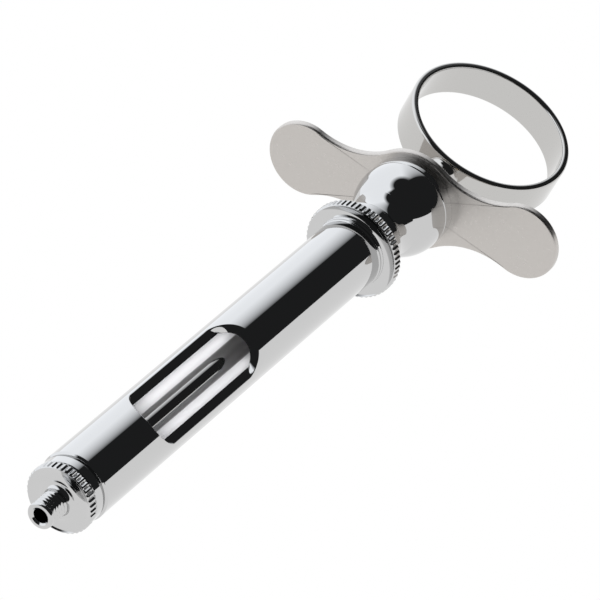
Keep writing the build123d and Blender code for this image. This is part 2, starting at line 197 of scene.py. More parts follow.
def piece(name, surface, body, nodes, material):
    """Makes one mesh from (points in millimetres, normals, faces), gives it its finish and lets it ride."""
    points, facing, faces = surface
    mesh = bpy.data.meshes.new(name)
    mesh.from_pydata((points * MM).tolist(), [], outward(points, facing, faces))
    mesh.shade_smooth()
    facing = facing / np.linalg.norm(facing, axis=1, keepdims=True)
    mesh.normals_split_custom_set_from_vertices(facing.tolist())
    mesh.materials.append(material)
    obj = bpy.data.objects.new(name, mesh)
    bpy.context.scene.collection.objects.link(obj)
    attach(obj, body)
    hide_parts(*nodes)
    return obj


def linear(hex_colour):
    """Linear RGBA of an sRGB hex colour."""
    parts = [int(hex_colour[i:i + 2], 16) / 255 for i in (1, 3, 5)]
    return tuple(c / 12.92 if c <= 0.04045 else ((c + 0.055) / 1.055) ** 2.4 for c in parts) + (1.0,)


def node(tree, kind, links=(), **settings):
    """Adds a node, sets its inputs (by name or place) and properties, and joins (input, source) links."""
    new = tree.nodes.new(kind)
    for key, value in settings.items():
        if key == "inputs":
            for name, given in value.items():
                new.inputs[name].default_value = given
        else:
            setattr(new, key, value)
    for name, source in links:
        tree.links.new(new.inputs[name], source)
    return new


def emptied(owner):
    """Node tree of a material or world, with nothing in it."""
    owner.use_nodes = True
    owner.node_tree.nodes.clear()
    return owner.node_tree


def metal(name, colour, roughness, metallic=1.0):
    """A bare or plated metal."""
    material = bpy.data.materials.new(name)
    tree = emptied(material)
    shader = node(tree, "ShaderNodeBsdfPrincipled", inputs={
        "Base Color": linear(colour), "Metallic": metallic, "Roughness": roughness})
    node(tree, "ShaderNodeOutputMaterial", [("Surface", shader.outputs["BSDF"])])
    return material


def blasted(material, grain_mm, roughness_low, roughness_high, bump_mm, bump_strength):
    """Gives a metal the mottling of a blasted face: noise of the grain's size moves its roughness and its
    height."""
    tree = material.node_tree
    shader = tree.nodes["Principled BSDF"]
    place = node(tree, "ShaderNodeTexCoord")
    grain = node(tree, "ShaderNodeTexNoise", [("Vector", place.outputs["Object"])],
                 inputs={"Scale": 1 / (grain_mm * MM), "Detail": 3.0})
    spread = node(tree, "ShaderNodeMapRange", [("Value", grain.outputs["Fac"])], inputs={
        "From Min": 0.3, "From Max": 0.7, "To Min": roughness_low, "To Max": roughness_high})
    bump = node(tree, "ShaderNodeBump", [("Height", grain.outputs["Fac"])],
                inputs={"Strength": bump_strength, "Distance": bump_mm * MM})
    tree.links.new(shader.inputs["Roughness"], spread.outputs["Result"])
    tree.links.new(shader.inputs["Normal"], bump.outputs["Normal"])
    return material


# Nickel and chrome plate, buffed on a wheel: a neutral mirror that shows hard black and white bands
CHROME = metal("polished chrome plate", "#c8c8c8", 0.03)
# Stainless steel polished with compound: a mirror a little softer and warmer than the plate
STEEL = metal("polished stainless steel", "#c2c1bf", 0.06)
# Stainless steel blasted with glass beads: an even warm grey, its grain drawn coarse so that it shows
SATIN = blasted(metal("glass-blasted stainless steel", "#c4c0bc", 0.32), grain_mm=0.5, roughness_low=0.27,
                roughness_high=0.37, bump_mm=0.01, bump_strength=0.25)
# Reamed stainless steel: its fine marks scatter the light, so it looks pale and even beside the mirrors
BORE = metal("reamed stainless bore", "#e6e6e8", 0.42, metallic=0.2)
# Hard-drawn wire: grey, with the dull gloss that the die leaves
SPRING = metal("drawn spring wire", "#a9a8a6", 0.2)
# Free-cutting brass as turned: yellow, bright but not polished
BRASS = metal("turned brass", "#b89a5a", 0.15)

# Needle adaptor: nipple with its screw thread, knurled hub, band and screw
NEEDLE_BORE_RADIUS, NEEDLE_MOUTH_RADIUS, NEEDLE_MOUTH_DEPTH = 1.2, 1.5, 0.3
NIPPLE_RADIUS, NIPPLE_RIM, NIPPLE_ROWS_FRONT, NIPPLE_ROWS_BACK, NIPPLE_ROW_STEP = 2.15, 0.3, 0.36, 4.2, 0.045
NIPPLE_ROOT_RISE, NIPPLE_ROOT_RUN, HUB_FACE_RADIUS = 0.75, 0.7, 2.95
THREAD_PITCH, THREAD_DEPTH, THREAD_KEENNESS = 0.64, 0.34, 1.4
THREAD_FRONT, THREAD_RISE, THREAD_BACK, THREAD_FADE = 0.5, 0.2, 4.35, 1.0
HUB_CHAMFER, HUB_DISH, HUB_FACE_MARGIN, HUB_MARGIN = 0.3, 0.3, 0.02, 0.01
NECK_GROOVE_RADIUS, BAND_RADIUS, BAND_BACK, BAND_CHAMFER = 5.15, 5.5, 8.525, 0.175
SHANK_BACK = 13.65


def adaptor_relief(station, angle):
    """Radius left by the nipple's helical thread and by the hub's grooves. As a share of THREAD_DEPTH the
    thread is 1 - |2 frac(y / pitch - angle / turn) - 1| ^ keenness deep, so it is deepest half a pitch from
    each crest. It starts behind the rim and fades out at the root."""
    phase = (station / THREAD_PITCH - angle / (2 * np.pi)) % 1
    valley = 1 - np.abs(2 * phase - 1) ** THREAD_KEENNESS
    fade = (np.clip((station - THREAD_FRONT) / THREAD_RISE, 0, 1)
            * np.clip((THREAD_BACK - station) / THREAD_FADE, 0, 1))
    thread = NIPPLE_RADIUS - THREAD_DEPTH * valley * fade
    on_hub = (station > HUB_FRONT - HUB_MARGIN) & (station < HUB_BACK + HUB_MARGIN)
    teeth = np.where(on_hub, tooth_groove(HUB_RADIUS, HUB_TEETH)(station, angle), UNCUT)
    return np.where(fade > 0, thread, teeth)


def needle_adaptor():
    """Turned from the bore's back end forward to the tip, and back along the outside."""
    rim = NIPPLE_RADIUS - NIPPLE_RIM
    edge = HUB_RADIUS - HUB_CHAMFER
    mouth = [(NEEDLE_BORE_RADIUS, SHANK_BACK, EASED), (NEEDLE_BORE_RADIUS, NEEDLE_MOUTH_DEPTH, EASED),
             (NEEDLE_MOUTH_RADIUS, 0, SHARP), (rim, 0, FINE)]
    tip = arc((rim, NIPPLE_RIM), NIPPLE_RIM, -80, -10, count=5)
    nipple = [(NIPPLE_RADIUS, y, 0) for y in np.arange(NIPPLE_ROWS_FRONT, NIPPLE_ROWS_BACK, NIPPLE_ROW_STEP)]
    root = flared(NIPPLE_RADIUS, NIPPLE_ROWS_BACK, NIPPLE_ROOT_RISE, NIPPLE_ROOT_RUN, first=10)
    face = [(HUB_FACE_RADIUS, HUB_FRONT + HUB_FACE_MARGIN, CRISP)] + dished(
        HUB_FACE_RADIUS, edge, HUB_FRONT, HUB_DISH, margin=0.04, count=20)
    hub = [(edge, HUB_FRONT, EASED), (HUB_RADIUS, HUB_FRONT + HUB_CHAMFER, EASED),
           (HUB_RADIUS, HUB_BACK - HUB_CHAMFER, EASED), (edge, HUB_BACK, EASED)]
    band = [(NECK_GROOVE_RADIUS, HUB_BACK, SHARP), (BAND_RADIUS, HUB_BACK + BAND_CHAMFER, SOFT),
            (BAND_RADIUS, BAND_BACK - BAND_CHAMFER, ROUNDED), (NECK_GROOVE_RADIUS, BAND_BACK, SOFT),
            (NECK_GROOVE_RADIUS, BARREL_FRONT, SHARP)]
    screw = [(SCREW_RADIUS, BARREL_FRONT, SHARP), (SCREW_RADIUS, SHANK_BACK - SHANK_CHAMFER, EASED),
             (SCREW_RADIUS - SHANK_CHAMFER, SHANK_BACK, EASED)]
    return turned(mouth + tip + nipple + root + face + hub + band + screw, COLUMNS_PER_TOOTH * HUB_TEETH,
                  adaptor_relief)


piece("needle_adaptor_visual", needle_adaptor(), "adaptor", ["needle_adaptor"], CHROME)

# Coupling: spigot, shoulder, knurled rim with a dished face, and sleeve
SPIGOT_FRONT, NOSE_BORE_RADIUS = 82.85, 4.0
SHOULDER_RADIUS, SHOULDER_CHAMFER, SHOULDER_CHAMFER_LENGTH = 6.0, 0.3, 0.25
RIM_CHAMFER, RIM_DISH, RIM_FACE_MARGIN = 0.3, 0.25, 0.01
SLEEVE_RADIUS, SLEEVE_HOLE_RADIUS = 5.9, 5.25


def coupling():
    """Turned from the bore forward, and back along the outside into the sleeve's screw hole."""
    edge = RIM_RADIUS - RIM_CHAMFER
    spigot = [(NOSE_BORE_RADIUS, NECK_FRONT, EASED), (NOSE_BORE_RADIUS, SPIGOT_FRONT, EASED),
              (SCREW_RADIUS - SHANK_CHAMFER, SPIGOT_FRONT, EASED),
              (SCREW_RADIUS, SPIGOT_FRONT + SHANK_CHAMFER, EASED), (SCREW_RADIUS, BARREL_BACK, SHARP)]
    shoulder = [(SHOULDER_RADIUS - SHOULDER_CHAMFER, BARREL_BACK, EASED),
                (SHOULDER_RADIUS, BARREL_BACK + SHOULDER_CHAMFER_LENGTH, EASED),
                (SHOULDER_RADIUS, RIM_FRONT + RIM_FACE_MARGIN, FINE)]
    rim = dished(SHOULDER_RADIUS, edge, RIM_FRONT, RIM_DISH, margin=0.06, count=14) + [
        (edge, RIM_FRONT, EASED), (RIM_RADIUS, RIM_FRONT + RIM_CHAMFER, TOOTH_EDGE),
        (RIM_RADIUS, RIM_BACK - RIM_CHAMFER, TOOTH_EDGE), (edge, RIM_BACK, EASED)]
    sleeve = [(SLEEVE_RADIUS, RIM_BACK, EASED), (SLEEVE_RADIUS, SLEEVE_BACK, BUFFED),
              (SLEEVE_HOLE_RADIUS, SLEEVE_BACK, SHARP), (SLEEVE_HOLE_RADIUS, NECK_FRONT, SHARP)]
    return turned(spigot + shoulder + rim + sleeve, COLUMNS_PER_TOOTH * RIM_TEETH,
                  tooth_groove(RIM_RADIUS, RIM_TEETH))


piece("coupling_visual", coupling(), "handle", ["coupling"], CHROME)

# Ball housing: ball and waisted neck
BALL_CENTRE, BALL_RADIUS, BALL_EDGE_RADIUS, BALL_ARC_START, BALL_ARC_END = 103.0, 7.75, 7.685, -41, 6.5
CHAMBER_RADIUS, NECK_RADIUS = 4.4, 5.2
WAIST_FRONT, WAIST_BACK, WAIST_RADIUS, WAIST_BACK_RADIUS, WAIST_PLACE = 93.6, 97.75, 4.95, 5.7, 0.35


def waist(margin=0.05, count=12):
    """The neck's narrowing, as smooth corners: two parabolas that meet at its narrowest place."""
    s = np.linspace(margin, 1 - margin, count)
    ahead = (NECK_RADIUS - WAIST_RADIUS) * ((WAIST_PLACE - s) / WAIST_PLACE) ** 2
    behind = (WAIST_BACK_RADIUS - WAIST_RADIUS) * ((s - WAIST_PLACE) / (1 - WAIST_PLACE)) ** 2
    radius = WAIST_RADIUS + np.where(s > WAIST_PLACE, behind, ahead)
    return [(r, y, 0) for r, y in zip(radius, WAIST_FRONT + (WAIST_BACK - WAIST_FRONT) * s)]


def ball_housing():
    """Turned from the chamber's open back forward to the neck, and back over the ball."""
    return turned(
        [(CHAMBER_RADIUS, BASE_FRONT, SHARP), (CHAMBER_RADIUS, NECK_FRONT, SHARP),
         (NECK_RADIUS, NECK_FRONT, SHARP), (NECK_RADIUS, WAIST_FRONT, SHARP)] + waist()
        + [(WAIST_BACK_RADIUS, WAIST_BACK, EASED)]
        + arc((0, BALL_CENTRE), BALL_RADIUS, BALL_ARC_START, BALL_ARC_END, count=40)
        + [(BALL_EDGE_RADIUS, BASE_FRONT, EASED)], columns=256)


piece("ball_housing_visual", ball_housing(), "handle", ["ball_housing"], CHROME)

# Grip base: screw, disc and tail, bored for the rear bush
BASE_RADIUS, BASE_CHAMFER, BASE_SCREW_FRONT, BASE_SCREW_RADIUS = 7.65, 0.3, 100.3, 4.35
TAIL_RADIUS, BUSH_HOLE_RADIUS = 3.4, 2.55


def grip_base():
    """Turned from the screw's front back along the outside."""
    screw = [(BUSH_HOLE_RADIUS, BASE_SCREW_FRONT, SHARP),
             (BASE_SCREW_RADIUS - SHANK_CHAMFER, BASE_SCREW_FRONT, SHARP),
             (BASE_SCREW_RADIUS, BASE_SCREW_FRONT + SHANK_CHAMFER, SHARP),
             (BASE_SCREW_RADIUS, BASE_FRONT, SHARP)]
    disc = [(BASE_RADIUS - BASE_CHAMFER, BASE_FRONT, SHARP),
            (BASE_RADIUS, BASE_FRONT + BASE_CHAMFER, BUFFED), (BASE_RADIUS, GRIP_FRONT, EASED)]
    tail = [(TAIL_RADIUS, GRIP_FRONT, SHARP), (TAIL_RADIUS, NUT_BACK, SHARP),
            (BUSH_HOLE_RADIUS, NUT_BACK, SHARP)]
    return turned(screw + disc + tail, columns=256)


piece("grip_base_visual", grip_base(), "handle", ["grip_base"], CHROME)

# Piston rod and harpoon
ROD_START, HARPOON_SCREW_RADIUS = 21.45, 0.9
HARPOON_TIP, BARB_RADIUS, BARB_BACK, BARB_UNDERCUT, STEM_RADIUS = 15.15, 1.15, 16.85, 0.3, 0.65
COLLAR_FRONT, COLLAR_RADIUS, COLLAR_CHAMFER, COLLAR_GAP = 20.65, 1.5, 0.3, 0.01
TIP_RADIUS, TIP_LENGTH, HARPOON_BACK_RADIUS, HARPOON_SINK = 0.06, 0.1, 0.85, 0.05


def piston_rod():
    """Round rod with a chamfer at each end."""
    end_radius = ROD_RADIUS - SHANK_CHAMFER
    return turned(
        [(0, ROD_START, 0), (HARPOON_SCREW_RADIUS, ROD_START, CRISP), (end_radius, ROD_START, EASED),
         (ROD_RADIUS, ROD_START + SHANK_CHAMFER, EASED), (ROD_RADIUS, ROD_END - SHANK_CHAMFER, EASED),
         (end_radius, ROD_END, EASED), (0, ROD_END, 0)], columns=128, axis_ends=True)


def harpoon():
    """Barbed tip, stem and collar, turned from the tip back into the rod."""
    back = ROD_START + HARPOON_SINK
    return turned(
        [(0, HARPOON_TIP, 0), (TIP_RADIUS, HARPOON_TIP + TIP_LENGTH, FINE), (BARB_RADIUS, BARB_BACK, SHARP),
         (STEM_RADIUS, BARB_BACK - BARB_UNDERCUT, SHARP),
         (STEM_RADIUS, COLLAR_FRONT - COLLAR_CHAMFER, DULLED),
         (COLLAR_RADIUS, COLLAR_FRONT, EASED), (COLLAR_RADIUS, ROD_START - COLLAR_GAP, SHARP),
         (HARPOON_BACK_RADIUS, back, FINE), (0, back, 0)], columns=96, axis_ends=True)


piece("piston_rod_visual", piston_rod(), "piston", ["piston_rod"], STEEL)
piece("harpoon_visual", harpoon(), "piston", ["harpoon"], STEEL)

# Rear bush, between its flange inside the ball and its lip behind the nut
BUSH_FRONT, BUSH_FLANGE_BACK, BUSH_LIP_FRONT, BUSH_BACK = 98.5, 100.0, 109.1, 109.5
BUSH_RADIUS, BUSH_FLANGE_RADIUS = 2.5, 2.95


def rear_bush():
    """Turned from the flange back to the lip, with the rod's hole through it."""
    return turned(
        [(GUIDE_RADIUS, BUSH_FRONT, SHARP), (BUSH_FLANGE_RADIUS, BUSH_FRONT, EASED),
         (BUSH_FLANGE_RADIUS, BUSH_FLANGE_BACK, EASED), (BUSH_RADIUS, BUSH_FLANGE_BACK, SHARP),
         (BUSH_RADIUS, BUSH_LIP_FRONT, SHARP), (BUSH_FLANGE_RADIUS, BUSH_LIP_FRONT, SHARP),
         (BUSH_FLANGE_RADIUS, BUSH_BACK, SOFT), (GUIDE_RADIUS, BUSH_BACK, EASED)], columns=128)


piece("rear_bush_visual", rear_bush(), "bush", ["rear_bush"], BRASS)

# Guide bearing: cupped front, sliding body and flange
BEARING_FRONT, BEARING_CUP_DEPTH, BEARING_CUP_RADIUS, BEARING_CHAMFER = 74.85, 1.2, 3.3, 0.25
BEARING_RADIUS, BEARING_FLANGE_FRONT, BEARING_BACK, BEARING_FLANGE_RADIUS = 3.92, 89.45, 90.95, 4.32


def guide_bearing():
    """Turned from the bottom of the cup forward, and back along the outside."""
    cup = [(GUIDE_RADIUS, BEARING_FRONT + BEARING_CUP_DEPTH, SHARP),
           (BEARING_CUP_RADIUS, BEARING_FRONT, EASED)]
    body = [(BEARING_RADIUS - BEARING_CHAMFER, BEARING_FRONT, EASED),
            (BEARING_RADIUS, BEARING_FRONT + BEARING_CHAMFER, ROUNDED),
            (BEARING_RADIUS, BEARING_FLANGE_FRONT, SHARP)]
    flange = [(BEARING_FLANGE_RADIUS, BEARING_FLANGE_FRONT, SHARP),
              (BEARING_FLANGE_RADIUS, BEARING_BACK, SHARP), (GUIDE_RADIUS, BEARING_BACK, SHARP)]
    return turned(cup + body + flange, columns=128)


piece("guide_bearing_visual", guide_bearing(), "bearing", ["guide_bearing"], STEEL)

# Thumb ring: a flat band, rolled about the syringe's axis
RING_WALL, RING_WIDTH, RING_EDGE_ROUND = 1.2, 6.4, 0.45
RING_ACROSS = np.array([math.cos(RING_ROLL), 0, -math.sin(RING_ROLL)])


def thumb_ring():
    """Band with rounded edges, turned about the Y axis, then laid down so that this axis points up, rolled,
    and moved back along the syringe."""
    laid = np.array([RING_ACROSS, [math.sin(RING_ROLL), 0, math.cos(RING_ROLL)], [0, -1, 0]])
    inner, half = RING_RADIUS - RING_WALL, RING_WIDTH / 2
    band = [(inner, half, RING_EDGE_ROUND), (inner, -half, RING_EDGE_ROUND),
            (RING_RADIUS, -half, RING_EDGE_ROUND), (RING_RADIUS, half, RING_EDGE_ROUND)]
    points, facing, faces = turned(band, columns=256)
    return points @ laid + [0, RING_CENTRE, 0], facing @ laid, faces


piece("thumb_ring_visual", thumb_ring(), "piston", ["thumb_ring"], STEEL)

# Ring socket: boss bored for the rod, flared and shaped to the thumb ring's back
SOCKET_FRONT, SOCKET_BACK, SOCKET_RADIUS, SOCKET_BORE_RADIUS = 109.8, 115.9, 2.3, 1.775
SOCKET_FLARE_RADIUS, SOCKET_FLARE_LENGTH, SADDLE_SINK = 2.95, 1.3, 0.15


def ring_socket():
    """Turned boss. Along its flare each point moves back to the ring's own surface, by R - sqrt(R^2 - x^2)
    at the distance x aside from the axis."""
    flare_front, back = SOCKET_BACK - SOCKET_FLARE_LENGTH, SOCKET_BACK + SADDLE_SINK
    bore = [(0, ROD_END, 0), (SOCKET_BORE_RADIUS, ROD_END, SHARP),
            (SOCKET_BORE_RADIUS, SOCKET_FRONT, SHARP)]
    boss = [(SOCKET_RADIUS - SHANK_CHAMFER, SOCKET_FRONT, EASED),
            (SOCKET_RADIUS, SOCKET_FRONT + SHANK_CHAMFER, EASED)]
    flare = flared(SOCKET_RADIUS, flare_front, SOCKET_FLARE_RADIUS - SOCKET_RADIUS, SOCKET_FLARE_LENGTH,
                   first=8)
    foot = [(SOCKET_FLARE_RADIUS, back, FINE), (0, back, 0)]
    points, facing, faces = turned(bore + boss + flare + foot, columns=128, axis_ends=True)
    rise = RING_RADIUS - np.sqrt(RING_RADIUS ** 2 - (points @ RING_ACROSS) ** 2)
    points[:, 1] += rise * np.clip((points[:, 1] - flare_front) / SOCKET_FLARE_LENGTH, 0, 1)
    return points, facing, faces


piece("ring_socket_visual", ring_socket(), "piston", ["ring_socket"], STEEL)

# Finger grip: plate with two wings
PADDLE_RADIUS, PADDLE_OFFSET, WAIST_ARC_RADIUS = 6.45, 20.05, 13.35
GRIP_EDGE_ROUND, GRIP_HOLE_RADIUS = 0.35, 3.45
GRIP_ARC_POINTS, GRIP_FACE_ROWS, GRIP_EDGE_ROWS, GRIP_HOLE_MARGIN = 28, 9, 8, 0.01


def grip_loop(count):
    """Plan of the finger grip as (x, z) points and their outward normals, evenly along each arc: a round
    hub, two round paddles and concave arcs that touch both. One quarter is mirrored to the others."""
    near, far = GRIP_HUB_RADIUS + WAIST_ARC_RADIUS, PADDLE_RADIUS + WAIST_ARC_RADIUS
    arc_x = (near ** 2 - far ** 2 + PADDLE_OFFSET ** 2) / (2 * PADDLE_OFFSET)
    arc_z = math.sqrt(near ** 2 - arc_x ** 2)
    hub_angle, paddle_angle = math.atan2(arc_z, arc_x), math.atan2(arc_z, arc_x - PADDLE_OFFSET)
    arcs = (((0, 0), GRIP_HUB_RADIUS, math.pi / 2, hub_angle, 1, count),
            ((arc_x, arc_z), WAIST_ARC_RADIUS, hub_angle + math.pi, paddle_angle + math.pi, -1, count),
            ((PADDLE_OFFSET, 0), PADDLE_RADIUS, paddle_angle, 0, 1, count + 1))
    points, normals = [], []
    for centre, radius, start, end, sign, kept in arcs:
        a = np.linspace(start, end, count + 1)[:kept]
        unit = np.stack([np.cos(a), np.sin(a)], 1)
        points.append(np.array(centre) + radius * unit)
        normals.append(sign * unit)
    quarter, facing = np.concatenate(points), np.concatenate(normals)
    turns = (((1, 1), 1), ((1, -1), -1), ((-1, -1), 1), ((-1, 1), -1))
    loop = np.concatenate([(quarter * side)[::step][:-1] for side, step in turns])
    return loop, np.concatenate([(facing * side)[::step][:-1] for side, step in turns])


def finger_plate():
    """Flat faces from the hole to the edge, with edges rounded in quarter circles: a point of a rounded
    edge lies r (1 - sin t) inside the plan and r (1 - cos t) below the face."""
    edge, out = grip_loop(GRIP_ARC_POINTS)
    inset = edge - out * GRIP_EDGE_ROUND
    bearing = np.arctan2(edge[:, 1], edge[:, 0])
    hole_way = np.stack([np.cos(bearing), np.sin(bearing)], 1)
    hole = GRIP_HOLE_RADIUS * hole_way
    flat = np.zeros_like(edge)
    shares = np.linspace(0, 1, GRIP_FACE_ROWS)
    turns = np.linspace(0, math.pi / 2, GRIP_EDGE_ROWS)[1:]
    rows = []
    for face, way, order in ((GRIP_FRONT, -1, 1), (GRIP_BACK, 1, -1)):
        side = [(hole * (1 - s) + inset * s, face, flat, way) for s in shares]
        side += [(inset + out * GRIP_EDGE_ROUND * math.sin(t),
                  face - way * GRIP_EDGE_ROUND * (1 - math.cos(t)), out * math.sin(t), way * math.cos(t))
                 for t in turns]
        rows += side[::order]
    rows += [(hole, GRIP_BACK - GRIP_HOLE_MARGIN, -hole_way, 0),
             (hole, GRIP_FRONT + GRIP_HOLE_MARGIN, -hole_way, 0)]
    n = len(edge)
    points = [np.stack([plan[:, 0], np.full(n, station), plan[:, 1]], 1) for plan, station, _, _ in rows]
    facing = [np.stack([aside[:, 0], np.full(n, along), aside[:, 1]], 1) for _, _, aside, along in rows]
    loops = [np.arange(n) + n * k for k in range(len(rows))]
    return np.concatenate(points), np.concatenate(facing), ring_of(loops + loops[:1])


piece("finger_grip_visual", finger_plate(), "handle", ["finger_grip"], SATIN)

# Barrel: a thin tube with one long window, whose walls come in by WALL_LEAN at the bore
WINDOW_FRONT, WINDOW_BACK, WINDOW_END_RADIUS = 23.45, 51.95, 4.4
WINDOW_HALF_ANGLE, WINDOW_ROLL = math.radians(58), math.radians(33)
WALL_LEAN, FRONT_LEAN_SHARE, END_SLACK, OUTER_ROUND, INNER_ROUND = 0.75, 0.5, 0.05, 0.16, 0.08
WINDOW_MARGIN, SPREAD_ROWS, SPREAD_POWER = 3.0, 26, 1.6
SPREAD_FRONT, SPREAD_BACK = WINDOW_FRONT - WINDOW_MARGIN, WINDOW_BACK + WINDOW_MARGIN
END_COLUMNS, SIDE_ROWS, OUTER_ROUND_ROWS, INNER_ROUND_ROWS = 128, 24, 7, 5
LIP_RADIUS, LIP_LENGTH, LIP_CHAMFER = 5.95, 0.7, 0.2
BARREL_CHAMFER, SCREW_HOLE_DEPTH, BORE_MARGIN = 0.3, 5.2, 0.02


def window_loop(radius, lean=0.0):
    """The window's outline on a cylinder of that radius, as (angle from its middle, station): the ends are
    circles of the end radius as seen square on, station = end +- (sqrt(R^2 - (x - flat)^2) - R). lean is
    how far inside the outline this loop lies. The slack ends each circle just short of its side."""
    a = np.linspace(-WINDOW_HALF_ANGLE, WINDOW_HALF_ANGLE, END_COLUMNS + 1)
    flat = BARREL_RADIUS * math.sin(WINDOW_HALF_ANGLE) + END_SLACK - WINDOW_END_RADIUS
    past = np.clip(np.abs(radius * np.sin(a)) - flat, 0, None)
    sink = WINDOW_END_RADIUS - np.sqrt(WINDOW_END_RADIUS ** 2 - past ** 2)
    a = a * (1 - lean / (radius * WINDOW_HALF_ANGLE))
    front = np.stack([a, WINDOW_FRONT + sink + lean * FRONT_LEAN_SHARE], 1)
    back = np.stack([a[::-1], WINDOW_BACK - sink - lean], 1)
    return joined_loop(front, back)


def joined_loop(front, back):
    """A loop from its front row, left to right, and its back row, right to left, with straight sides."""
    s = np.linspace(0, 1, SIDE_ROWS + 1)[1:-1, None]
    right = front[-1] * (1 - s) + back[0] * s
    left = back[-1] * (1 - s) + front[0] * s
    return np.concatenate([front, right, back, left])


def on_cylinder(radius, flat):
    """(angle, station) points laid on a cylinder round the axis, and the unit vectors out from the axis."""
    a = flat[..., 0] + WINDOW_ROLL
    out = np.stack([np.sin(a), np.zeros_like(a), np.cos(a)], -1)
    return radius * out + flat[..., 1:2] * [0, 1, 0], out


def strip_normal(place, way):
    """Normal of a strip that runs round the window through these places and goes the given way across it."""
    normal = np.cross(np.roll(place, -1, 0) - np.roll(place, 1, 0), way)
    return normal / np.linalg.norm(normal, axis=1, keepdims=True)


def spread_rows(radius, loop, limit, edge, way):
    """Rows on a cylinder, from a loop moved out by the edge's rounding to the limit: row k is the share
    (k / count) ^ power of the way. way is 1 for the outer surface and -1 for the inner one."""
    place, out = on_cylinder(radius, loop)
    away = strip_normal(place, out)
    round_way = np.cross([0.0, 1.0, 0.0], out)
    start = loop + np.stack([(away * round_way).sum(1) / radius, away[:, 1]], 1) * edge
    rows = [on_cylinder(radius, start * (1 - t) + limit * t)
            for t in (np.arange(SPREAD_ROWS + 1) / SPREAD_ROWS) ** SPREAD_POWER]
    return [(place, out * way) for place, out in rows]


def wall_rows(outer_loop, inner_loop):
    """Rows of the window's wall: a rounded edge at each surface, and the leaning wall between them. At the
    outer edge a point is edge + r (1 - sin t) away from the window + r (1 - cos t) down the wall. At the
    inner one sine and cosine change places, and the way is up the wall."""
    outer, outer_out = on_cylinder(BARREL_RADIUS, outer_loop)
    inner, inner_out = on_cylinder(BORE_RADIUS, inner_loop)
    outer_away, inner_away = strip_normal(outer, outer_out), strip_normal(inner, inner_out)
    down = (inner - outer) / np.linalg.norm(inner - outer, axis=1, keepdims=True)
    rows = [(outer + outer_away * OUTER_ROUND * (1 - math.sin(t)) + down * OUTER_ROUND * (1 - math.cos(t)),
             strip_normal(outer, down * math.sin(t) - outer_away * math.cos(t)))
            for t in np.linspace(0, math.pi / 2, OUTER_ROUND_ROWS)[1:]]
    return rows + [
        (inner + inner_away * INNER_ROUND * (1 - math.cos(t)) - down * INNER_ROUND * (1 - math.sin(t)),
         strip_normal(inner, down * math.cos(t) + inner_away * math.sin(t)))
        for t in np.linspace(0, math.pi / 2, INNER_ROUND_ROWS)[:-1]]


def plain_end(path, angles, outer_ring, inner_ring, first_number):
    """Turned end of the tube, between two rings of numbered points of the part with the window."""
    line, normal = (part[1:-1] for part in profile(path))
    flat = np.stack(np.broadcast_arrays(angles[None], line[:, 1:]), -1)
    unit = on_cylinder(1.0, flat)[1]
    points = unit * line[:, None, :1] + flat[..., 1:2] * [0, 1, 0]
    facing = unit * normal[:, None, :1] + normal[:, None, 1:] * [0, 1, 0]
    if (facing[0] * unit[0]).sum() < 0:
        facing = -facing
    numbers = first_number + np.arange(len(line) * len(angles)).reshape(len(line), -1)
    return points.reshape(-1, 3), facing.reshape(-1, 3), ring_of([outer_ring] + list(numbers) + [inner_ring])


def end_paths():
    """Outlines of the tube's two plain ends, each from the outer surface round to the bore."""
    front_hole, back_hole = BARREL_FRONT + SCREW_HOLE_DEPTH, BARREL_BACK - SCREW_HOLE_DEPTH
    lip_front = BARREL_BACK - LIP_LENGTH
    front = [(BARREL_RADIUS, SPREAD_FRONT, 0), (BARREL_RADIUS, BARREL_FRONT + BARREL_CHAMFER, DULLED),
             (BARREL_RADIUS - BARREL_CHAMFER, BARREL_FRONT, DULLED),
             (SCREW_HOLE_RADIUS, BARREL_FRONT, SHARP), (SCREW_HOLE_RADIUS, front_hole, SHARP),
             (BORE_RADIUS, front_hole, SHARP), (BORE_RADIUS, SPREAD_FRONT, 0)]
    back = [(BARREL_RADIUS, SPREAD_BACK, 0), (BARREL_RADIUS, lip_front, SHARP),
            (LIP_RADIUS, lip_front + LIP_CHAMFER, DULLED), (LIP_RADIUS, BARREL_BACK - LIP_CHAMFER, DULLED),
            (BARREL_RADIUS, BARREL_BACK, EASED), (SCREW_HOLE_RADIUS, BARREL_BACK, SHARP),
            (SCREW_HOLE_RADIUS, back_hole, SHARP), (BORE_RADIUS, back_hole, SHARP),
            (BORE_RADIUS, SPREAD_BACK, 0)]
    return front, back


